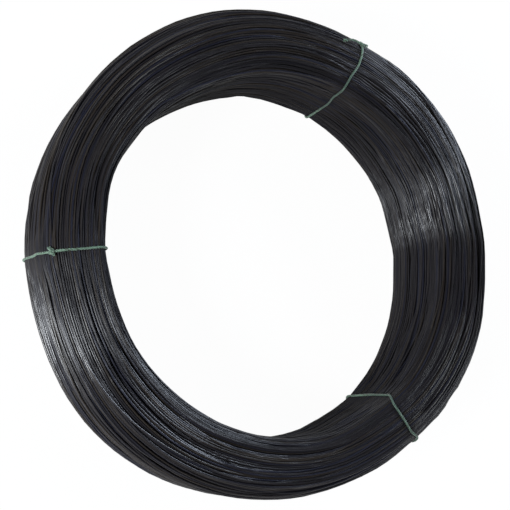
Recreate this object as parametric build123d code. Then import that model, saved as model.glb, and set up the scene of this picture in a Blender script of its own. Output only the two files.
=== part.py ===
from build123d import *
from math import cos, radians, sin
import os

# A coil of soft black binding wire. One long wire is wound into a flat ring round an
# open eye, and three twine ties hold the turns together. The ring lies on the floor:
# +Z is the axis of the eye, z = 0 is the floor, and all sizes are in millimetres.

# The winding, of 1.6 mm wire. Its turns lie a little more than one wire apart. The block
# that it is wound on sets the eye, and the wire builds up to the width outside that
turn_pitch = 1.74
eye_diameter = 300.0
winding_width = 50.0
coil_height = 98.0
inner_edge_radius = 12.0
outer_edge_radius = 25.0

# The turns lie in bands of neighbouring wires, with a groove between two bands. The
# crests on the two flat ends are flat, and the coil rests on the lower one. The eye's wall
# lay against the block, so its bands are wider and flat
wires_per_band = 6
wires_per_wall_band = 13
groove_depth = 2.6
crest_width = 6.0
wall_crest_width = 18.0

# The twine ties, each a closed loop round the winding with one knot
twine_diameter = 2.2
twine_sides = 6
twine_below_crest = 0.3
seat_clearance = 0.2
straights_per_edge = 4

# The knot: a lump drawn tight round the loop, and two cut tails
knot_diameter = 6.0
knot_length = 7.0
knot_taper = 35.0
tail_length = 7.0
tail_rise = 35.0

# Where each tie goes round the ring, and where its knot lies on the outer edge: its
# angle above the horizontal on the upper edge, or below it on the lower edge
ties = {
    "twine_tie_left": (183.0, 55.0),
    "twine_tie_upper_right": (66.0, 34.0),
    "twine_tie_lower_right": (305.5, -30.0),
}

eye_radius = eye_diameter / 2
outer_radius = eye_radius + winding_width
band_width = wires_per_band * turn_pitch
wall_band_width = wires_per_wall_band * turn_pitch

# A ring too narrow for its edges and one crest between them has smaller edges
edge_room = winding_width - crest_width
edge_share = min(1.0, edge_room / (inner_edge_radius + outer_edge_radius))
inner_edge = inner_edge_radius * edge_share
outer_edge = outer_edge_radius * edge_share
inner_edge_centre = eye_radius + inner_edge
outer_edge_centre = outer_radius - outer_edge
twine_inset = twine_below_crest + twine_diameter / 2
seat_depth = twine_below_crest + twine_diameter + seat_clearance
seat_width = twine_diameter + 2 * seat_clearance

# The section's four rounded edges, clockwise from the eye's upper edge: the centre as
# radius and height, the edge's own radius, and the angle at which its quarter turn starts
edges = [
    ((inner_edge_centre, coil_height - inner_edge), inner_edge, 180),
    ((outer_edge_centre, coil_height - outer_edge), outer_edge, 90),
    ((outer_edge_centre, outer_edge), outer_edge, 0),
    ((inner_edge_centre, inner_edge), inner_edge, -90),
]


def edge_point(edge, turned, inset=0.0):
    """The point of a rounded edge that far into its turn, in degrees, and that far inwards."""
    centre, radius, start = edge
    angle = radians(start - turned)
    reach = radius - inset
    return centre[0] + reach * cos(angle), centre[1] + reach * sin(angle)


def bands_round(edge):
    """Groove and crest points of the bands round one edge, without its last groove."""
    quarter = edge[1] * radians(90)
    count = max(1, round(quarter / band_width))
    points = []
    for band in range(count):
        points.append(edge_point(edge, 90 * band / count, groove_depth))
        points.append(edge_point(edge, 90 * (band + 0.5) / count))
    return points


def bands_along(start, end, crest, count=None):
    """The same along a straight side, with its crests that wide."""
    side = Vector(*end) - Vector(*start)
    along = side.normalized()
    inwards = along.rotate(Axis.Z, -90)
    count = count or max(1, round(side.length / band_width))
    points = []
    for band in range(count):
        middle = Vector(*start) + side * (band + 0.5) / count
        points.append(Vector(*start) + side * band / count + inwards * groove_depth)
        points += [middle - along * crest / 2, middle + along * crest / 2] if crest else [middle]
    return [(point.X, point.Y) for point in points]


def wall_bands(start, end):
    """The bands along the eye's wall, with one at its middle and no groove at its ends."""
    pairs = round((end[1] - start[1] - wall_band_width) / (2 * wall_band_width))
    count = 2 * max(0, pairs) + 1
    return [start, *bands_along(start, end, wall_crest_width, count)[2:-1], end]


def winding_profile():
    """Half section of the winding, radius against height, from the foot of the wall."""
    points = wall_bands(edge_point(edges[3], 90), edge_point(edges[0], 0))
    points += bands_round(edges[0])[1:]
    for edge, following, crest in zip(edges, edges[1:], (crest_width, 0, crest_width)):
        points += bands_along(edge_point(edge, 90), edge_point(following, 0), crest)
        points += bands_round(following)
    return points


def section_outline(inset):
    """The section's outline moved that far inwards, with a few straights round each edge."""
    turns = [90 * step / straights_per_edge for step in range(straights_per_edge + 1)]
    return [edge_point(edge, turned, inset) for edge in edges for turned in turns]


def knot_plane(angle):
    """The plane at a knot's middle: x runs along the twine, z points out of the coil."""
    height = coil_height - outer_edge if angle > 0 else outer_edge
    outwards = Vector(cos(radians(angle)), 0, sin(radians(angle)))
    along = Vector(-sin(radians(angle)), 0, cos(radians(angle)))
    middle = Vector(outer_edge_centre, 0, height) + outwards * outer_edge
    return Plane(origin=middle, x_dir=along, z_dir=outwards)


def make_knot(knot_angle, around):
    """The lump of one knot, larger by that much all round."""
    knot = knot_plane(knot_angle)
    section = RegularPolygon(knot_diameter / 2 + around, twine_sides)
    half = extrude(section, knot_length / 2 + around, taper=knot_taper)
    return knot * Rot(0, 90, 0) * half + knot * Rot(0, -90, 0) * half


def make_tie(knot_angle):
    """One tie in the plane y = 0: its loop, its knot and the two tails."""
    strand = RegularPolygon(twine_diameter / 2, twine_sides)
    corners = [Vector(r, 0, z) for r, z in section_outline(twine_inset)]
    middle = (corners[0] + corners[-1]) / 2
    path = Polyline(middle, *corners, middle).wire()
    tie = sweep(Plane(origin=middle, z_dir=path % 0) * strand, path=path, transition=Transition.RIGHT)
    tie += make_knot(knot_angle, 0)
    for side in (1, -1):
        tail = knot_plane(knot_angle) * Rot(side * (90 - tail_rise), 0, 0)
        tie += tail * extrude(strand, tail_length)
    return tie


def make_seat(knot_angle):
    """What one tie presses into the winding: a groove round it and a hollow for its knot."""
    around = make_face(Polyline(*section_outline(-seat_depth), close=True))
    within = make_face(Polyline(*section_outline(seat_depth), close=True))
    groove = extrude(Plane.XZ * (around - within), seat_width / 2, both=True)
    return groove + make_knot(knot_angle, seat_clearance)


winding = revolve(Plane.XZ * make_face(Polyline(*winding_profile(), close=True)), Axis.Z)
pieces = {}
for name, (azimuth, knot_angle) in ties.items():
    winding -= Rot(0, 0, azimuth) * make_seat(knot_angle)
    pieces[name] = Rot(0, 0, azimuth) * make_tie(knot_angle)
pieces["wire_coil"] = winding

os.makedirs("parts", exist_ok=True)
for name, piece in pieces.items():
    export_step(piece, f"parts/{name}.step")
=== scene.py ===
from math import cos, pi, radians, sin, tau

import bpy
from mathutils import Matrix, Vector


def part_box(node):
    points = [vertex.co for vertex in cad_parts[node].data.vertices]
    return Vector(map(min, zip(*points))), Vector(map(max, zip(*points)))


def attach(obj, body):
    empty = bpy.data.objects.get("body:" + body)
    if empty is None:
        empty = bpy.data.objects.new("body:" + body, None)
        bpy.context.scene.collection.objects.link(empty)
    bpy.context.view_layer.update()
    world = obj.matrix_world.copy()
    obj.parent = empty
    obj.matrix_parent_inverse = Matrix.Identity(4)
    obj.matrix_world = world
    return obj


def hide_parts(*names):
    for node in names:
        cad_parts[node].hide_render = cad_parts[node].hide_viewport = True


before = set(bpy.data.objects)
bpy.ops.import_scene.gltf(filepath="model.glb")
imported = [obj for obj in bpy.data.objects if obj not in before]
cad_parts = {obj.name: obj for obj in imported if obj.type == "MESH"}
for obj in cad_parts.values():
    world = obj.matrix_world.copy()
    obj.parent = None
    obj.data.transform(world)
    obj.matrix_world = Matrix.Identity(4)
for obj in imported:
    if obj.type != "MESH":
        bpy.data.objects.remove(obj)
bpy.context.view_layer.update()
scene = bpy.context.scene
MM = 0.001


# The camera. It looks down on the coil from its near side, which lies at the left of the
# picture and a little below the middle. The picture is turned so that the coil's near and far
# sides lie nearly left and right, and the coil sits a little right of its middle.
near_side = radians(199.9)
camera_tilt = radians(25.8)
camera_distance = 843 * MM
camera_lens = 70.6
coil_middle_in_picture = (267.6, 253.6)
picture_width = 510

coil_low, coil_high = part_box("wire_coil")
coil_middle = (coil_low + coil_high) / 2
sideways = Vector((sin(near_side), -cos(near_side), 0))
nearer = Vector((cos(near_side), sin(near_side), 0))
back = nearer * sin(camera_tilt) + Vector((0, 0, cos(camera_tilt)))
lower = nearer * cos(camera_tilt) - Vector((0, 0, sin(camera_tilt)))
picture_right = sideways * sin(near_side) + lower * cos(near_side)
picture_up = lower * sin(near_side) - sideways * cos(near_side)

camera_data = bpy.data.cameras.new("camera")
camera_data.sensor_width = 36
camera_data.lens = camera_lens
camera_data.dof.use_dof = False
camera_data.shift_x = (picture_width / 2 - coil_middle_in_picture[0]) / picture_width
camera_data.shift_y = (coil_middle_in_picture[1] - picture_width / 2) / picture_width
camera = bpy.data.objects.new("camera", camera_data)
axes = Matrix((picture_right, picture_up, back)).transposed().to_4x4()
camera.matrix_world = Matrix.Translation(coil_middle + back * camera_distance) @ axes
scene.collection.objects.link(camera)
scene.camera = camera


# The winding's shape. The wire comes off a round block and is wound turn on turn into a ring
# with a soft section. Its turns lie in loose bands, sunk in places and proud in others, the
# ring bulges where the winder lingered, and three ties squeeze it.
inner_edge = 12 * MM
outer_edge = 25 * MM
ring_width = 50 * MM
eye_radius = coil_high.x - ring_width
ring_outside = coil_high.x
coil_height = coil_high.z - coil_low.z

# Where the ring departs from round: azimuth and spread in degrees, and millimetres outwards.
# A narrow hump in a wider hollow is a place where the turns bunch, as they do under a tie
outer_bulges = ((39, 17, 5.9), (100, 20, 3.4), (197, 13, -3.5), (235, 22, 4.0), (298, 18, -2.8))
outer_bulges += ((325, 16, 1.4), (338, 7, 1.0), (4, 4, 1.5), (4, 10, -1.2), (183, 4, 1.2))
outer_bulges += ((183, 9, -0.8),)
inner_bulges = ((116, 17, -5.6), (162, 7, 1.8), (282, 20, 3.4), (295, 6, -1.6), (316, 7, 0.9))
inner_bulges += ((4, 26, -3.0), (72, 12, -1.8), (184, 10, -1.4), (4, 4, 1.6), (4, 10, -1.2))
inner_bulges += ((24, 4, 1.2), (183, 4, 0.8))

# Where the ties squeeze the ring, how far to each side in degrees, and how deep they bite on
# its top and round its sides, and how much deeper underneath
tie_azimuths = (183.0, 66.0, 305.5)
tie_reach = 4.0
tie_bite = 0.5 * MM
tie_bite_under = 1.6 * MM

# Neighbouring turns lie a little proud or sunk together, and part in creases
band_relief = 0.45 * MM
crease_depth = 1.6 * MM
crease_sharpness = 5.0


def add_node(tree, kind, sockets=None, **settings):
    """One node. A socket given as an input is linked, and any other value is set."""
    made = tree.nodes.new(kind)
    for name, value in settings.items():
        setattr(made, name, value)
    for name, value in (sockets or {}).items():
        if isinstance(value, bpy.types.NodeSocket):
            tree.links.new(value, made.inputs[name])
        else:
            made.inputs[name].default_value = value
    return made


def maths(tree, operation, *values):
    """The result of one Math node."""
    return add_node(tree, "ShaderNodeMath", dict(enumerate(values)), operation=operation).outputs[0]


def combined(tree, x, y, z):
    """A vector of three numbers."""
    return add_node(tree, "ShaderNodeCombineXYZ", {0: x, 1: y, 2: z}).outputs[0]


def total(tree, terms):
    """The sum of several sockets."""
    result = terms[0]
    for term in terms[1:]:
        result = maths(tree, "ADD", result, term)
    return result


def centred(tree, noise):
    """Noise from 0 to 1, made about -1 to 1."""
    return maths(tree, "MULTIPLY", maths(tree, "SUBTRACT", noise, 0.5), 3.0)


def ring_noise(tree, angle, around, round_ring, round_section, seed, detail=1.0):
    """Smooth noise from about -1 to 1 all over the ring's skin, without a seam. Two numbers
    say how fine it is round the ring and round the section."""
    vector = combined(
        tree,
        maths(tree, "MULTIPLY", maths(tree, "COSINE", angle), round_ring),
        maths(tree, "MULTIPLY", maths(tree, "SINE", angle), round_ring),
        maths(tree, "MULTIPLY_ADD", maths(tree, "COSINE", around), round_section, seed),
    )
    w = maths(tree, "MULTIPLY", maths(tree, "SINE", around), round_section)
    sockets = {"Vector": vector, "W": w, "Scale": 1.0, "Detail": detail}
    made = add_node(tree, "ShaderNodeTexNoise", sockets, noise_dimensions="4D")
    return centred(tree, made.outputs[0])


def hump(tree, direction, azimuth, spread):
    """1 at one azimuth round the ring, falling smoothly to 0 away from it."""
    towards = (cos(radians(azimuth)), sin(radians(azimuth)), 0)
    dot = add_node(tree, "ShaderNodeVectorMath", {0: direction, 1: towards}, operation="DOT_PRODUCT")
    fall = maths(tree, "SUBTRACT", dot.outputs["Value"], 1.0)
    return maths(tree, "EXPONENT", maths(tree, "DIVIDE", fall, radians(spread) ** 2))


def squeeze_at(tree, angle):
    """How much the ties squeeze the ring at this angle: 1 under a tie, 0 away from it."""
    direction = combined(tree, maths(tree, "COSINE", angle), maths(tree, "SINE", angle), 0.0)
    return total(tree, [hump(tree, direction, azimuth, tie_reach) for azimuth in tie_azimuths])


def creases(tree, angle, around):
    """Where the turns part and sink a little: 0 for most turns, up to 1 in a crease. A crease
    follows the line where smooth noise is 0, and fades out along it."""
    run = maths(tree, "ABSOLUTE", ring_noise(tree, angle, around, 1.1, 7.0, 31.3))
    crease = maths(tree, "MAXIMUM", maths(tree, "MULTIPLY_ADD", run, -crease_sharpness, 1.0), 0.0)
    fading = maths(tree, "MULTIPLY_ADD", ring_noise(tree, angle, around, 2.2, 3.0, 41.9), 1.2, 0.6)
    fading = maths(tree, "MINIMUM", maths(tree, "MAXIMUM", fading, 0.0), 1.0)
    return maths(tree, "MULTIPLY", crease, fading)


def new_tree(name, inputs, outputs=(("Geometry", "Geometry"),)):
    """A Geometry Nodes tree with named inputs and outputs, given as name and socket kind."""
    tree = bpy.data.node_groups.new(name, "GeometryNodeTree")
    for label, kind in inputs:
        tree.interface.new_socket(name=label, in_out="INPUT", socket_type="NodeSocket" + kind)
    for label, kind in outputs:
        tree.interface.new_socket(name=label, in_out="OUTPUT", socket_type="NodeSocket" + kind)
    entry = tree.nodes.new("NodeGroupInput")
    leave = tree.nodes.new("NodeGroupOutput")
    return tree, entry.outputs, leave.inputs


# The section's outline, radius against height, from the middle of the eye's wall upwards,
# over the top, down the outside and back underneath. Each corner has its place, its way ahead
# and its two handles, and ROUND is the handle of a quarter circle of radius 1
ROUND = 0.5523
section_data = bpy.data.curves.new("section", "CURVE")
section_data.dimensions = "3D"
section_data.resolution_u = 16
edge_in, edge_out = eye_radius + inner_edge, ring_outside - outer_edge
pull_in, pull_out, straight = inner_edge * ROUND, outer_edge * ROUND, 4 * MM
corners = [
    ((eye_radius, coil_height / 2), (0, 1), straight, straight),
    ((eye_radius, coil_height - inner_edge), (0, 1), straight, pull_in),
    ((edge_in, coil_height), (1, 0), pull_in, straight),
    ((edge_out, coil_height), (1, 0), straight, pull_out),
    ((ring_outside, coil_height - outer_edge), (0, -1), pull_out, straight),
    ((ring_outside, outer_edge), (0, -1), straight, pull_out),
    ((edge_out, 0), (-1, 0), pull_out, straight),
    ((edge_in, 0), (-1, 0), straight, pull_in),
    ((eye_radius, inner_edge), (0, 1), pull_in, straight),
]
outline = section_data.splines.new("BEZIER")
outline.bezier_points.add(len(corners) - 1)
for point, ((r, z), (ahead_r, ahead_z), before, after) in zip(outline.bezier_points, corners):
    place, ahead = Vector((r, 0, z)), Vector((ahead_r, 0, ahead_z))
    point.co = place
    point.handle_left = place - ahead * before
    point.handle_right = place + ahead * after
outline.use_cyclic_u = True
section = bpy.data.objects.new("section", section_data)
scene.collection.objects.link(section)
section_length = outline.calc_length()

# The turns lie in bands with grooves between them, as in the solid. From the foot of the eye's
# wall upwards, over the top and back underneath, each stretch of the section has this length,
# this many bands, and crests this wide. The wall has no grooves at its ends
quarter_in, quarter_out = inner_edge * tau / 4, outer_edge * tau / 4
wall, flat = coil_height - 2 * inner_edge, ring_width - inner_edge - outer_edge
flank = coil_height - 2 * outer_edge
stretches = ((wall, 3, 18 * MM), (quarter_in, 2, 0), (flat, 1, 6 * MM), (quarter_out, 4, 0))
stretches += ((flank, 5, 0), (quarter_out, 4, 0), (flat, 1, 6 * MM), (quarter_in, 2, 0))
groove_depth = 2.6 * MM
band_wander = 1.6 * MM


def groove_places():
    """Places round the section, from 0 to 1, each with 1 for a groove and 0 for a crest."""
    places = set()
    place = -wall / 2
    for length, bands, crest in stretches:
        width = length / bands
        for band in range(bands):
            start = place + band * width
            at_wall_end = abs(abs(start) - wall / 2) < 0.01 * MM
            crest_start, crest_end = start + (width - crest) / 2, start + (width + crest) / 2
            places |= {(start, 0.0 if at_wall_end else 1.0), (crest_start, 0.0), (crest_end, 0.0)}
        place += length
    return sorted((at / (place + wall / 2) % 1, groove) for at, groove in places)


# Any point on or under the coil's skin, from its place round the section, its angle round
# the ring and its depth. The wire and the twine both follow it.
skin, given, result = new_tree(
    "wound skin",
    [(name, "Float") for name in ("Factor", "Angle", "Depth", "Relief", "Floor")],
    [("Position", "Vector")],
)
factor, angle = given["Factor"], given["Angle"]
cosine, sine = maths(skin, "COSINE", angle), maths(skin, "SINE", angle)
direction = combined(skin, cosine, sine, 0.0)
squeeze = squeeze_at(skin, angle)
around = maths(skin, "MULTIPLY", factor, tau)
long_bands = ring_noise(skin, angle, around, 1.2, 9.0, 3.1)
short_bands = ring_noise(skin, angle, around, 3.6, 14.0, 8.7)
waves = ring_noise(skin, angle, around, 8.0, 11.0, 13.9)
bands = maths(skin, "MULTIPLY_ADD", short_bands, 0.6, long_bands)
bands = maths(skin, "MULTIPLY_ADD", waves, 0.8, bands)
relief = maths(skin, "MULTIPLY", bands, given["Relief"])

wander = ring_noise(skin, angle, around, 1.3, 3.0, 5.3)
wander = maths(skin, "MULTIPLY", wander, band_wander / section_length)
at_band = maths(skin, "FRACT", maths(skin, "ADD", factor, wander))
grooves = add_node(skin, "ShaderNodeFloatCurve", {"Value": at_band})
groove_line = grooves.mapping.curves[0]
for point, end in zip(groove_line.points, (0.0, 1.0)):
    point.location = (end, 0.0)
for at, groove in groove_places():
    groove_line.points.new(at, groove)
for point in groove_line.points:
    point.handle_type = "VECTOR"
grooves.mapping.update()
strength = ring_noise(skin, angle, around, 1.8, 5.0, 9.9)
strength = maths(skin, "MAXIMUM", maths(skin, "MULTIPLY_ADD", strength, 0.6, 0.85), 0.0)
sunk = maths(skin, "MULTIPLY", grooves.outputs[0], maths(skin, "MULTIPLY", strength, groove_depth))
relief = maths(skin, "SUBTRACT", relief, sunk)
relief = maths(skin, "MULTIPLY_ADD", creases(skin, angle, around), -crease_depth, relief)
relief = maths(skin, "MULTIPLY", relief, maths(skin, "SUBTRACT", 1.0, squeeze))

section_curve = add_node(skin, "GeometryNodeObjectInfo", {"Object": section}).outputs["Geometry"]
sampled = add_node(
    skin,
    "GeometryNodeSampleCurve",
    {"Curves": section_curve, "Factor": maths(skin, "FRACT", factor)},
    mode="FACTOR",
    use_all_curves=True,
)
across = add_node(skin, "ShaderNodeSeparateXYZ", {0: sampled.outputs["Position"]}).outputs
along = add_node(skin, "ShaderNodeSeparateXYZ", {0: sampled.outputs["Tangent"]}).outputs
outward_r = maths(skin, "MULTIPLY", along["Z"], -1.0)
outward_z = along["X"]
under = maths(skin, "MAXIMUM", maths(skin, "MULTIPLY", outward_z, -1.0), 0.0)
bite = maths(skin, "MULTIPLY_ADD", under, tie_bite_under, tie_bite)
depth = maths(skin, "ADD", given["Depth"], maths(skin, "MULTIPLY", bite, squeeze))
depth = maths(skin, "SUBTRACT", depth, relief)
radius = maths(skin, "SUBTRACT", across["X"], maths(skin, "MULTIPLY", outward_r, depth))
height = maths(skin, "SUBTRACT", across["Z"], maths(skin, "MULTIPLY", outward_z, depth))

shifts = []
for bulges in (inner_bulges, outer_bulges):
    humps = [(hump(skin, direction, azimuth, spread), out) for azimuth, spread, out in bulges]
    shifts.append(total(skin, [maths(skin, "MULTIPLY", shape, out * MM) for shape, out in humps]))
share = maths(skin, "DIVIDE", maths(skin, "SUBTRACT", across["X"], eye_radius), ring_width)
shift = add_node(skin, "ShaderNodeMix", {0: share, 2: shifts[0], 3: shifts[1]}).outputs[0]
radius = maths(skin, "ADD", radius, shift)
height = maths(skin, "MAXIMUM", height, given["Floor"])
x, y = maths(skin, "MULTIPLY", radius, cosine), maths(skin, "MULTIPLY", radius, sine)
skin.links.new(combined(skin, x, y, height), result["Position"])


# The wire. It is soft steel of 16 gauge, drawn and then annealed in coils, which leaves it a
# black oxide skin with a faint oily sheen, bluer where the scale is thin and browner where
# it has begun to weather.
wire_radius = 0.8 * MM
points_a_turn = 112
black, blue_black = (0.0115, 0.0105, 0.012), (0.010, 0.0105, 0.0175)
brown_black = (0.0165, 0.0132, 0.011)
# How far the sheen varies from its mean, between dry wire and oily wire, and how much drier
# the wire is in the eye and in the creases
sheen_spread = 0.6
dryness = 0.7
# Where the wire is oilier or drier than elsewhere: the azimuth and its spread, the place
# round the section from the eye's wall, all in degrees, and how much
oily_patches = ((14, 7, 25, 1.0), (222, 12, 60, 0.45), (200, 8, 170, 0.4))
oily_patches += ((355, 7, 60, -0.9), (178, 8, 110, -1.1), (31, 7, 5, -0.9), (197, 8, 90, -0.4))

steel = bpy.data.materials.new("annealed_wire")
steel.use_nodes = True
nodes = steel.node_tree
shader = nodes.nodes["Principled BSDF"]


def attribute(tree, name):
    """One of the piece's own attributes, in a material."""
    return add_node(tree, "ShaderNodeAttribute", attribute_name=name).outputs["Fac"]


def noise_along(tree, at, scale, detail):
    """Noise from 0 to 1 along a line."""
    sockets = {"W": at, "Scale": scale, "Detail": detail}
    return add_node(tree, "ShaderNodeTexNoise", sockets, noise_dimensions="1D").outputs[0]


def ramp(tree, value, *stops):
    """A Color Ramp over these stops, each a place and a colour or a grey."""
    made = add_node(tree, "ShaderNodeValToRGB", {0: value})
    elements = made.color_ramp.elements
    while len(elements) < len(stops):
        elements.new(0.5)
    for element, (place, colour) in zip(elements, stops):
        element.position = place
        element.color = (*colour, 1) if isinstance(colour, tuple) else (colour, colour, colour, 1)
    return made.outputs["Color"]


def multiplied(tree, first, second):
    """The product of two colours."""
    sockets = {"Factor": 1.0, 6: first, 7: second}
    made = add_node(tree, "ShaderNodeMix", sockets, data_type="RGBA", blend_type="MULTIPLY")
    return made.outputs[2]


def mapped(tree, value, low, high, at_low, at_high):
    """What a value between low and high gives, on a straight line between the two others."""
    sockets = {"Value": value, "From Min": low, "From Max": high}
    sockets |= {"To Min": at_low, "To Max": at_high}
    return add_node(tree, "ShaderNodeMapRange", sockets).outputs[0]


turn_here, band_here = attribute(nodes, "turn"), attribute(nodes, "band")
weathering = noise_along(nodes, turn_here, 0.9, 2.0)
browner, bluer = ((0.36, brown_black), (0.47, black)), ((0.56, black), (0.66, blue_black))
tint = ramp(nodes, weathering, *browner, *bluer)
shade = ramp(nodes, noise_along(nodes, turn_here, 14.0, 3.0), (0.3, 0.75), (0.7, 1.25))
nodes.links.new(multiplied(nodes, tint, shade), shader.inputs["Base Color"])
for socket, dry, oily in (("Roughness", 0.44, 0.29), ("Specular IOR Level", 0.17, 0.58)):
    level = mapped(nodes, band_here, -sheen_spread, sheen_spread, dry, oily)
    nodes.links.new(level, shader.inputs[socket])

# The wire has small kinks, and its scale has fine pits
kinks = noise_along(nodes, turn_here, 55.0, 1.0)
sockets = {"Height": kinks, "Strength": 1.0, "Distance": 0.8 * MM}
kinked = add_node(nodes, "ShaderNodeBump", sockets)
on_piece = add_node(nodes, "ShaderNodeTexCoord").outputs["Object"]
pits = add_node(nodes, "ShaderNodeTexNoise", {"Vector": on_piece, "Scale": 1800.0, "Detail": 2.0})
sockets = {"Height": pits.outputs[0], "Strength": 0.15, "Distance": 0.05 * MM}
pitted = add_node(nodes, "ShaderNodeBump", {**sockets, "Normal": kinked.outputs[0]})
nodes.links.new(pitted.outputs[0], shader.inputs["Normal"])
# Drawing leaves fine lines along the wire, which spread its shine round it
drawn = add_node(nodes, "ShaderNodeTangent", direction_type="UV_MAP", uv_map="OFBake")
nodes.links.new(drawn.outputs[0], shader.inputs["Tangent"])
shader.inputs["Anisotropic"].default_value = 0.8
shader.inputs["Anisotropic Rotation"].default_value = 0.25


def line_noise(tree, at, scale):
    """Smooth noise from about -1 to 1 along a line."""
    return centred(tree, noise_along(tree, at, scale, 1.0))


def skin_point(tree, **values):
    """The wound skin's point for these values, inside another tree."""
    return add_node(tree, "GeometryNodeGroup", values, node_tree=skin).outputs["Position"]


def stored(tree, geometry, name, value, data_type="FLOAT", domain="POINT"):
    """The geometry with a named attribute."""
    sockets = {"Geometry": geometry, "Name": name, "Value": value}
    kind = "GeometryNodeStoreNamedAttribute"
    return add_node(tree, kind, sockets, data_type=data_type, domain=domain).outputs[0]


def tube(tree, curve, radius, sides):
    """A smooth round tube along a curve, closed at its ends."""
    rim = add_node(tree, "GeometryNodeCurvePrimitiveCircle", {"Radius": radius, "Resolution": sides})
    sockets = {"Curve": curve, "Profile Curve": rim.outputs["Curve"], "Fill Caps": True}
    made = add_node(tree, "GeometryNodeCurveToMesh", sockets)
    return add_node(tree, "GeometryNodeSetShadeSmooth", {0: made.outputs[0]}).outputs[0]


def with_bake_map(tree, mesh, sides, steps_a_row, rows):
    """The tube's mesh with a map of one row for each turn, along it and round it."""
    corner = add_node(tree, "GeometryNodeInputIndex").outputs[0]
    face = add_node(tree, "GeometryNodeFaceOfCorner", {"Corner Index": corner}).outputs["Face Index"]
    vertex = add_node(tree, "GeometryNodeVertexOfCorner", {"Corner Index": corner}).outputs[0]
    face_ring = maths(tree, "FLOOR", maths(tree, "DIVIDE", face, sides))
    ring = maths(tree, "FLOOR", maths(tree, "DIVIDE", vertex, sides))
    side = maths(tree, "FLOORED_MODULO", face, sides)
    place = maths(tree, "FLOORED_MODULO", vertex, sides)
    next_side = maths(tree, "SUBTRACT", 1.0, maths(tree, "COMPARE", side, place, 0.5))
    row = maths(tree, "FLOOR", maths(tree, "DIVIDE", face_ring, steps_a_row))
    u = maths(tree, "SUBTRACT", maths(tree, "DIVIDE", ring, steps_a_row), row)
    v = maths(tree, "ADD", row, maths(tree, "DIVIDE", maths(tree, "ADD", side, next_side), sides))
    uv = combined(tree, u, maths(tree, "DIVIDE", v, rows), 0.0)
    return stored(tree, mesh, "OFBake", uv, "FLOAT2", "CORNER")


def end_tree(tree, geometry, material, result):
    """The end of a tree: everything real, and in its material."""
    real = add_node(tree, "GeometryNodeRealizeInstances", {0: geometry}).outputs[0]
    made = add_node(tree, "GeometryNodeSetMaterial", {"Geometry": real, "Material": material})
    tree.links.new(made.outputs[0], result["Geometry"])


def grown(name, tree, **inputs):
    """A plain mesh object from a tree, with the inputs set by their sockets' identifiers."""
    start = bpy.data.objects.new(name, bpy.data.meshes.new(name + "_start"))
    scene.collection.objects.link(start)
    modifier = start.modifiers.new("grow", "NODES")
    modifier.node_group = tree
    for item in tree.interface.items_tree:
        if item.item_type == "SOCKET" and item.in_out == "INPUT":
            modifier[item.identifier] = inputs[item.name.lower().replace(" ", "_")]
    bpy.context.view_layer.update()
    depsgraph = bpy.context.evaluated_depsgraph_get()
    mesh = bpy.data.meshes.new_from_object(start.evaluated_get(depsgraph))
    mesh.name = name
    start.modifiers.remove(modifier)
    start.data = mesh
    return start


# One stretch of the wound wire: turn after turn in one line from one place of the section to
# another, with its ends tucked in under the others. Its bake map has a row for each turn
end_reach, end_depth = 0.06, 4 * MM
# How far apart, on the line that the noise is read from, two seeds lie, and the noise that
# moves the wire sideways from the one that lifts it
seed_step, lift_step = 37.0, 500.0
winding, given, result = new_tree(
    "wound wire",
    [
        ("Start", "Float"),
        ("End", "Float"),
        ("Turns", "Int"),
        ("Points a turn", "Int"),
        ("Depth", "Float"),
        ("Lift", "Float"),
        ("Relief", "Float"),
        ("Wander", "Float"),
        ("Own wander", "Float"),
        ("Sink at ties", "Float"),
        ("Wire radius", "Float"),
        ("Sides", "Int"),
        ("Seed", "Float"),
        ("Material", "Material"),
    ],
)
line = add_node(winding, "GeometryNodeCurvePrimitiveLine", {"Start": (0, 0, 0), "End": (1, 0, 0)})
steps = maths(winding, "MULTIPLY", given["Turns"], given["Points a turn"])
line = add_node(
    winding,
    "GeometryNodeResampleCurve",
    {"Curve": line.outputs[0], "Count": maths(winding, "ADD", steps, 1.0)},
    mode="COUNT",
)

# Where each point of the line lies: its turn and angle round the ring, and its place round the
# section, which wanders with its neighbours and by itself
factor = add_node(winding, "GeometryNodeSplineParameter").outputs["Factor"]
turn = maths(winding, "MULTIPLY", factor, given["Turns"])
angle = maths(winding, "MULTIPLY", turn, tau)
sockets = {0: factor, 2: given["Start"], 3: given["End"]}
in_section = add_node(winding, "ShaderNodeMix", sockets).outputs[0]
around = maths(winding, "MULTIPLY", in_section, tau)
common = ring_noise(winding, angle, around, 0.8, 2.4, given["Seed"])
seeded = maths(winding, "MULTIPLY_ADD", given["Seed"], seed_step, turn)
own = line_noise(winding, seeded, 2.6)
in_section = maths(winding, "MULTIPLY_ADD", common, given["Wander"], in_section)
in_section = maths(winding, "MULTIPLY_ADD", own, given["Own wander"], in_section)

# How oily the wire is: in bands of turns, drier in the eye and in the creases
sheen = ring_noise(winding, angle, around, 1.6, 8.0, 21.7, 2.0)
in_eye = maths(winding, "MAXIMUM", maths(winding, "COSINE", around), 0.0)
sheen = maths(winding, "MULTIPLY_ADD", in_eye, -dryness, sheen)
direction = combined(winding, maths(winding, "COSINE", angle), maths(winding, "SINE", angle), 0.0)
for azimuth, spread, at, much in oily_patches:
    near = maths(winding, "COSINE", maths(winding, "SUBTRACT", around, radians(at)))
    near = maths(winding, "MULTIPLY", maths(winding, "MAXIMUM", near, 0.0), much)
    sheen = maths(winding, "MULTIPLY_ADD", hump(winding, direction, azimuth, spread), near, sheen)
sheen = maths(winding, "MULTIPLY_ADD", creases(winding, angle, around), -dryness, sheen)
line = stored(winding, stored(winding, line.outputs[0], "turn", seeded), "band", sheen)

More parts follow.
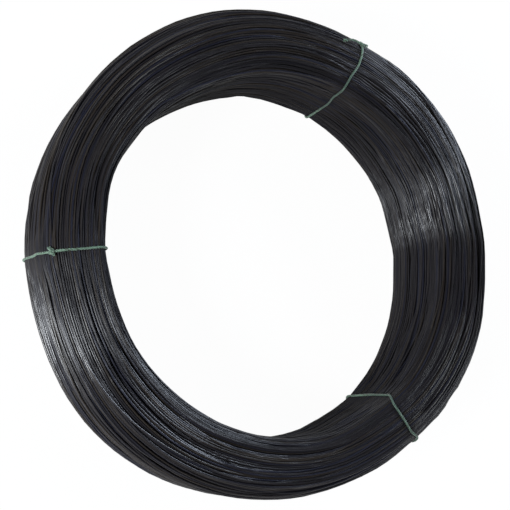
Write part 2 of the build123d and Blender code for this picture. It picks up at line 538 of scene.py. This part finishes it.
# How deep each point lies: lifted a little by itself, pressed down by the ties, and buried at
# the line's two ends
squeeze = squeeze_at(winding, angle)
own_lift = line_noise(winding, maths(winding, "ADD", seeded, lift_step), 2.1)
lift = maths(winding, "MULTIPLY", own_lift, given["Lift"])
lift = maths(winding, "MULTIPLY", lift, maths(winding, "SUBTRACT", 1.0, squeeze))
depth = maths(winding, "ADD", given["Depth"], lift)
depth = maths(winding, "ADD", depth, maths(winding, "MULTIPLY", squeeze, given["Sink at ties"]))
to_end = maths(winding, "MINIMUM", turn, maths(winding, "SUBTRACT", given["Turns"], turn))
buried = maths(winding, "SUBTRACT", 1.0, maths(winding, "DIVIDE", to_end, end_reach))
depth = maths(winding, "MULTIPLY_ADD", maths(winding, "MAXIMUM", buried, 0.0), end_depth, depth)
here = skin_point(
    winding,
    Factor=in_section,
    Angle=angle,
    Depth=depth,
    Relief=given["Relief"],
    Floor=given["Wire radius"],
)
line = add_node(winding, "GeometryNodeSetPosition", {"Geometry": line, "Position": here}).outputs[0]
wire = tube(winding, line, given["Wire radius"], given["Sides"])
wire = with_bake_map(winding, wire, given["Sides"], given["Points a turn"], given["Turns"])
end_tree(winding, wire, given["Material"], result)

common_wander = 3.0


def wind(name, depth, lift, wander, own_wander, sink_at_ties, **rest):
    """One piece of wound wire, as part of the coil. Its lengths are in millimetres."""
    piece = grown(
        name,
        winding,
        points_a_turn=points_a_turn,
        depth=depth * MM,
        lift=lift * MM,
        relief=band_relief,
        wander=wander * MM / section_length,
        own_wander=own_wander * MM / section_length,
        sink_at_ties=sink_at_ties * MM,
        wire_radius=wire_radius,
        material=steel,
        **rest,
    )
    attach(piece, "root")
    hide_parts("wire_coil")


# The turns that show, and two layers under them that show in the gaps: name, depth, pitch,
# how far each turn strays sideways, sides of the wire, and the noise's seed
for layer, depth, pitch, stray_sideways, sides, seed in (
    ("outer_turns", 1.1, 1.70, 0.7, 6, 1.0),
    ("second_turns", 2.6, 1.85, 0.9, 6, 4.0),
    ("third_turns", 4.2, 2.1, 0.8, 5, 7.0),
):
    for half, start, end in (("top", 0.0, 0.5), ("under", 0.5, 1.0)):
        wind(
            f"{layer}_{half}",
            start=start,
            end=end,
            turns=round(section_length * (end - start) / (pitch * MM)),
            depth=depth,
            lift=0.4,
            wander=common_wander,
            own_wander=stray_sideways,
            sink_at_ties=0.0,
            sides=sides,
            seed=seed,
        )


# The stray turns. A few loose turns of the same wire lie over the others and cross them at
# a small angle, where the winder's traverse came back over the finished layer.
for name, start, end, turns, seed in (
    ("stray_turns_inward", 0.02, 0.44, 13, 11.0),
    ("stray_turns_outward", 0.40, 0.06, 9, 14.0),
    ("stray_turns_flank", 0.38, 0.60, 6, 17.0),
):
    wind(
        name,
        start=start,
        end=end,
        turns=turns,
        depth=0.5,
        lift=1.3,
        wander=-3.0 * common_wander,
        own_wander=3.0,
        sink_at_ties=1.0,
        sides=6,
        seed=seed,
    )


# The turns farther in. They only show as darkness in the gaps between the others, so they
# are one closed surface of the same steel, a little under the third layer.
core_depth = 5.6 * MM
inner, given, result = new_tree("inner turns", [("Depth", "Float"), ("Material", "Material")])


def point_parts(tree):
    """The x, y and z of each point, inside a tree."""
    position = add_node(tree, "GeometryNodeInputPosition").outputs[0]
    return add_node(tree, "ShaderNodeSeparateXYZ", {0: position}).outputs


sockets = {"Size X": 1.0, "Size Y": 1.0, "Vertices X": 145, "Vertices Y": 73}
grid = add_node(inner, "GeometryNodeMeshGrid", sockets)
local = point_parts(inner)
here = skin_point(
    inner,
    Factor=maths(inner, "ADD", local["Y"], 0.5),
    Angle=maths(inner, "MULTIPLY", local["X"], tau),
    Depth=given["Depth"],
    Relief=band_relief,
    Floor=core_depth,
)
sheet = stored(inner, grid.outputs["Mesh"], "OFBake", grid.outputs["UV Map"], "FLOAT2", "CORNER")
sheet = add_node(inner, "GeometryNodeSetPosition", {"Geometry": sheet, "Position": here}).outputs[0]
joined = add_node(inner, "GeometryNodeMergeByDistance", {"Geometry": sheet, "Distance": 0.01 * MM})
outwards = add_node(inner, "GeometryNodeFlipFaces", {"Mesh": joined.outputs[0]}).outputs[0]
end_tree(inner, outwards, given["Material"], result)
core = grown("inner_turns", inner, depth=core_depth, material=steel)
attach(core, "root")
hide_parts("wire_coil")


# The ties. Each is a length of green polypropylene twine, three plies laid together, pulled
# tight round the ring so that it sinks between the turns, and knotted on the outer edge with
# its cut tails left lying on the turns.
ply_count, ply_sides = 3, 7
ply_radius, ply_reach, lay_length = 0.5 * MM, 0.52 * MM, 6.5 * MM
twine_height = 0.5 * MM
loop_points = 330
pale_green, olive = (0.082, 0.145, 0.097), (0.034, 0.055, 0.032)
# The dark green of the painted shade on the twine
shaded_twine_green = (0.014, 0.038, 0.023)
# Painted shade: spots of the twine where the ties lie in shade, darkened towards a dark green.
# The middle and the reach in millimetres, and how much. A spot fades out to this many times its reach
painted_shade_spots = (((62, 138, 70), 28, 0.8), ((96, -134, 92), 40, 0.7))
shade_spot_fade = 1.3

twine = bpy.data.materials.new("green_twine")
twine.use_nodes = True
nodes = twine.node_tree
shader = nodes.nodes["Principled BSDF"]
lay_here = attribute(nodes, "lay")
fading = noise_along(nodes, lay_here, 0.16, 2.0)
faded = ramp(nodes, fading, (0.38, olive), (0.47, pale_green), (0.7, pale_green))
fibres = ramp(nodes, noise_along(nodes, lay_here, 3.0, 3.0), (0.3, 0.6), (0.6, 1.1))
colour = multiplied(nodes, faded, fibres)
on_piece = add_node(nodes, "ShaderNodeTexCoord").outputs["Object"]
# Painted shade: the twine is darkened towards a dark green round each spot where a tie lies in shade
for middle, reach, much in painted_shade_spots:
    sockets = {0: on_piece, 1: Vector(middle) * MM}
    away = add_node(nodes, "ShaderNodeVectorMath", sockets, operation="DISTANCE").outputs["Value"]
    shade_share = mapped(nodes, away, reach * MM, shade_spot_fade * reach * MM, much, 0.0)
    sockets = {"Factor": shade_share, 6: colour, 7: (*shaded_twine_green, 1)}
    colour = add_node(nodes, "ShaderNodeMix", sockets, data_type="RGBA").outputs[2]
nodes.links.new(colour, shader.inputs["Base Color"])
shader.inputs["Roughness"].default_value = 0.5
shader.inputs["Sheen Weight"].default_value = 0.15

# Twine laid on the skin along a route. A route's points are metres along the section, metres
# along the ring, and height over the skin, and their radius says how far the plies stand apart
laying, given, result = new_tree(
    "laid twine",
    [
        ("Route", "Object"),
        ("Azimuth", "Float"),
        ("Lay length", "Float"),
        ("Ply radius", "Float"),
        ("Ply reach", "Float"),
        ("Material", "Material"),
    ],
)
route = add_node(laying, "GeometryNodeObjectInfo", {"Object": given["Route"]}).outputs["Geometry"]
local = point_parts(laying)
along_ring = maths(laying, "DIVIDE", local["Y"], ring_outside)
here = skin_point(
    laying,
    Factor=maths(laying, "DIVIDE", local["X"], section_length),
    Angle=maths(laying, "ADD", given["Azimuth"], along_ring),
    Depth=maths(laying, "MULTIPLY", local["Z"], -1.0),
    Relief=band_relief,
    Floor=maths(laying, "ADD", given["Ply radius"], given["Ply reach"]),
)
route = add_node(laying, "GeometryNodeSetPosition", {"Geometry": route, "Position": here})
sockets = {"Geometry": route.outputs[0], "Amount": ply_count}
plies = add_node(laying, "GeometryNodeDuplicateElements", sockets, domain="SPLINE")
ply = plies.outputs["Duplicate Index"]

# The plies turn round each other, evenly apart. Each has its own stretch of the line that the
# fibres' noise is read from
stretch_apart = 50.0
length = add_node(laying, "GeometryNodeSplineLength").outputs["Length"]
lays = maths(laying, "ROUND", maths(laying, "DIVIDE", length, given["Lay length"]))
factor = add_node(laying, "GeometryNodeSplineParameter").outputs["Factor"]
lay = maths(laying, "MULTIPLY", factor, lays)
turned = maths(laying, "MULTIPLY", maths(laying, "MULTIPLY_ADD", ply, 1 / ply_count, lay), tau)
normal = add_node(laying, "GeometryNodeInputNormal").outputs[0]
tangent = add_node(laying, "GeometryNodeInputTangent").outputs[0]
sockets = {0: tangent, 1: normal}
binormal = add_node(laying, "ShaderNodeVectorMath", sockets, operation="CROSS_PRODUCT").outputs[0]
spread = add_node(laying, "GeometryNodeInputRadius").outputs[0]
reach = maths(laying, "MULTIPLY", spread, given["Ply reach"])
moves = {}
for place, (way, wave) in enumerate(((normal, "COSINE"), (binormal, "SINE"))):
    sockets = {0: way, "Scale": maths(laying, "MULTIPLY", reach, maths(laying, wave, turned))}
    moves[place] = add_node(laying, "ShaderNodeVectorMath", sockets, operation="SCALE").outputs[0]
offset = add_node(laying, "ShaderNodeVectorMath", moves, operation="ADD").outputs[0]

own_lay = maths(laying, "ADD", lay, maths(laying, "MULTIPLY", ply, stretch_apart))
strands = stored(laying, plies.outputs[0], "lay", own_lay)
strands = add_node(laying, "GeometryNodeSetPosition", {"Geometry": strands, "Offset": offset})
strands = add_node(laying, "GeometryNodeSetCurveRadius", {0: strands.outputs[0], "Radius": 1.0})
strands = tube(laying, strands.outputs[0], given["Ply radius"], ply_sides)
end_tree(laying, strands, given["Material"], result)


def add_spline(curve, points, closed):
    """A poly spline through (along, across, height, spread) points."""
    spline = curve.splines.new("POLY")
    spline.points.add(len(points) - 1)
    for point, (along, across, height, spread) in zip(spline.points, points):
        point.co = (along, across, height, 1)
        point.radius = spread
    spline.use_cyclic_u = closed


def azimuth_at(stations, share):
    """The azimuth at a place round the section, eased between the stations on either side."""
    for (before, start), (after, end) in zip(stations, stations[1:]):
        if before <= share <= after:
            eased = (1 - cos(pi * (share - before) / (after - before))) / 2
            return start + (end - start) * eased


def loop_route(stations):
    """Once round the section through the stations, as metres to the side of the first one."""
    route = []
    for step in range(loop_points):
        share = step / loop_points
        across = radians(azimuth_at(stations, share) - stations[0][1]) * ring_outside
        route.append((share * section_length, across, twine_height, 1))
    return route


def knot_route(along, across, size):
    """An overhand knot, drawn up to about that size, lying on the twine."""
    steps, curve_width, flatness = 72, 6, 7
    middle_height = twine_height + 0.9 * MM
    route = []
    for step in range(steps):
        t = tau * step / steps
        x, y, z = sin(t) + 2 * sin(2 * t), cos(t) - 2 * cos(2 * t), -sin(3 * t)
        x, y = along + x * size / curve_width, across + y * size / curve_width
        route.append((x, y, middle_height + z * size / flatness, 1))
    return route


def tail_route(along, across, length, way, lean):
    """A cut tail. It leaves the knot along the ring, falls on the turns and frays at its end."""
    steps, arch, end_height = 20, 1.2, 0.6
    frayed_from, fraying = 0.75, 1.6
    route = []
    for step in range(steps + 1):
        share = step / steps
        height = twine_height + (arch * sin(pi * share) + end_height) * MM
        spread = 1 + fraying * max(0, share - frayed_from) / (1 - frayed_from)
        aside = along + lean * length * share**2
        route.append((aside, across + way * length * share, height, spread))
    return route


# Each tie's stations, as place round the section and azimuth, then its knot's place and size,
# and its tails as length, way along the ring and lean along the section
left_tie = (
    "left",
    ((0, 182.3), (0.16, 182.6), (0.28, 183.2), (0.35, 183.3), (0.42, 183.0), (0.6, 182.2), (1, 182.3)),
    (0.332, 4.0),
    ((2.8, -1, 0.7), (2.8, 1, -0.6)),
)
upper_right = ((0, 65.6), (0.1, 67.0), (0.19, 67.5), (0.25, 66.4), (0.34, 66.6), (0.6, 66.0))
upper_right += ((0.88, 65.4), (1, 65.6))
upper_right_tie = ("upper_right", upper_right, (0.327, 4.0), ((20, 1, -0.3), (4, -1, 0.5)))
lower_right = ((0, 307.5), (0.12, 307.0), (0.2, 304.0), (0.28, 304.0), (0.36, 306.0), (0.6, 306.4))
lower_right += ((0.85, 307.3), (1, 307.5))
lower_right_tie = ("lower_right", lower_right, (0.565, 4.5), ((6, 1, 0.4), (7, -1, 0.2)))

for side, stations, (knot_place, knot_size), tails in (left_tie, upper_right_tie, lower_right_tie):
    azimuth = stations[0][1]
    route_data = bpy.data.curves.new("route_" + side, "CURVE")
    route_data.dimensions = "3D"
    add_spline(route_data, loop_route(stations), True)
    along = knot_place * section_length
    across = radians(azimuth_at(stations, knot_place) - azimuth) * ring_outside
    add_spline(route_data, knot_route(along, across, knot_size * MM), True)
    for length, way, lean in tails:
        add_spline(route_data, tail_route(along, across, length * MM, way, lean), False)
    route = bpy.data.objects.new("route_" + side, route_data)
    scene.collection.objects.link(route)
    tie = grown(
        "tie_" + side,
        laying,
        route=route,
        azimuth=radians(azimuth),
        lay_length=lay_length,
        ply_radius=ply_radius,
        ply_reach=ply_reach,
        material=twine,
    )
    bpy.data.objects.remove(route)
    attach(tie, "root")
    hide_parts("twine_tie_" + side)

bpy.data.objects.remove(section)


# The floor, a plain pale sheet, and the light. Two soft lamps stand over the coil's near side,
# and a cooler and a faint one over its far side, so the turns shine only where they run across
# a lamp's light.
floor_size = 4
floor_data = bpy.data.meshes.new("floor")
floor_corners = [(-floor_size, -floor_size, 0), (floor_size, -floor_size, 0)]
floor_corners += [(floor_size, floor_size, 0), (-floor_size, floor_size, 0)]
floor_data.from_pydata(floor_corners, [], [(0, 1, 2, 3)])
floor = bpy.data.objects.new("floor", floor_data)
scene.collection.objects.link(floor)
pale = bpy.data.materials.new("pale_floor")
pale.use_nodes = True
nodes = pale.node_tree
shader = nodes.nodes["Principled BSDF"]
shader.inputs["Base Color"].default_value = (0.8, 0.8, 0.8, 1)
shader.inputs["Roughness"].default_value = 0.9
shader.inputs["Specular IOR Level"].default_value = 0.0
# Seen directly or in the wire's shine, the floor is nearly white, and keeps a little shadow
own_white = 0.97
white = add_node(nodes, "ShaderNodeEmission", {"Color": (1, 1, 1, 1), "Strength": 1.0})
ray = add_node(nodes, "ShaderNodeLightPath").outputs
seen = maths(nodes, "MAXIMUM", ray["Is Camera Ray"], ray["Is Glossy Ray"])
seen = maths(nodes, "MAXIMUM", seen, ray["Is Transmission Ray"])
whiteness = maths(nodes, "MULTIPLY", seen, own_white)
sockets = {0: whiteness, 1: shader.outputs[0], 2: white.outputs[0]}
whiter = add_node(nodes, "ShaderNodeMixShader", sockets)
nodes.links.new(whiter.outputs[0], nodes.nodes["Material Output"].inputs["Surface"])
floor_data.materials.append(pale)

# The sky is white near the horizon, where views from the side see it, and dim above
white_up_to, dim_from = 0.03, 0.15
dim_sky = 0.08
world = bpy.data.worlds.new("world")
scene.world = world
world.use_nodes = True
nodes = world.node_tree
to_sky = add_node(nodes, "ShaderNodeTexCoord").outputs["Generated"]
upwards = add_node(nodes, "ShaderNodeSeparateXYZ", {0: to_sky}).outputs["Z"]
background = nodes.nodes["Background"]
background.inputs["Color"].default_value = (1, 1, 1, 1)
strength = mapped(nodes, upwards, white_up_to, dim_from, 1.0, dim_sky)
nodes.links.new(strength, background.inputs["Strength"])


def add_lamp(name, azimuth, elevation, size, power, colour):
    """A square soft lamp that looks at the coil's middle."""
    lamp_data = bpy.data.lights.new(name, "AREA")
    lamp_data.energy = power
    lamp_data.size = size
    lamp_data.color = colour
    lamp = bpy.data.objects.new(name, lamp_data)
    towards = Vector((cos(radians(azimuth)), sin(radians(azimuth)), 0)) * cos(radians(elevation))
    towards.z = sin(radians(elevation))
    lamp.location = coil_middle + towards * lamp_distance
    lamp.rotation_mode = "QUATERNION"
    lamp.rotation_quaternion = towards.to_track_quat("Z", "Y")
    lamp.visible_camera = False
    scene.collection.objects.link(lamp)


# Name, azimuth and elevation in degrees, size, power in watts and colour
lamp_distance = 1.6
add_lamp("key", 200, 36, 0.36, 34, (0.9, 0.95, 1.0))
add_lamp("low", 196, 18, 0.36, 8, (0.9, 0.95, 1.0))
add_lamp("rim", 33, 32, 0.6, 24, (0.76, 0.85, 1.0))
add_lamp("side", 345, 25, 0.5, 7, (0.92, 0.98, 1.0))

scene.view_settings.view_transform = "Standard"
